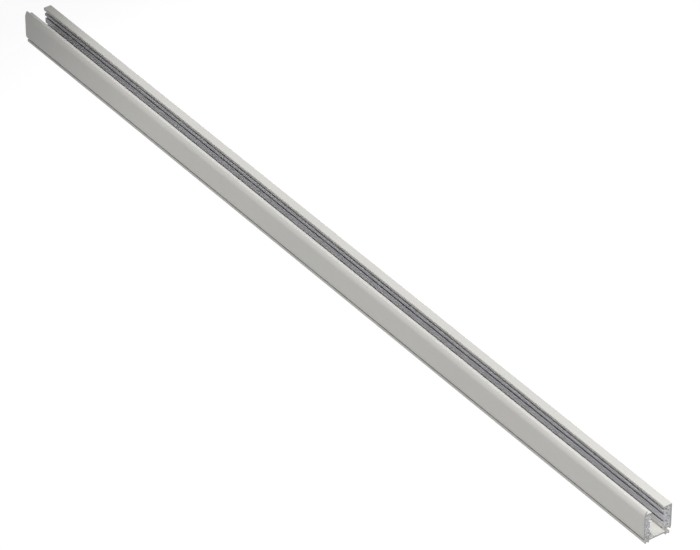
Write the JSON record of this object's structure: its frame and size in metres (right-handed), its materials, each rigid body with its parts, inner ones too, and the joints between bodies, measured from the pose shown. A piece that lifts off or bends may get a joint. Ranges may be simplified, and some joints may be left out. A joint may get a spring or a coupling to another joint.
{
  "type": "three-phase lighting track",
  "caption": "Straight length of white three-phase lighting track: coated aluminium channel with plastic insulators and copper conductors behind its lips.",
  "frame": {"origin": "centre of the bounding box on the floor plane, under the middle of the track", "axes": "+X along the track, +Y across it towards the wall without the ridge, +Z out of the open side"},
  "size_m": [1, 0.031, 0.036],
  "materials": {
    "coated_aluminium": "satin",
    "insulator_plastic": "matte",
    "copper": "satin"
  },
  "bodies": {
    "root": {"aluminium_channel": "coated_aluminium", "insulator_plain_side": "insulator_plastic", "insulator_ridge_side": "insulator_plastic", "conductor_l1": "copper", "conductor_l2": "copper", "conductor_l3": "copper", "conductor_neutral": "copper"}
  },
  "joints": []
}
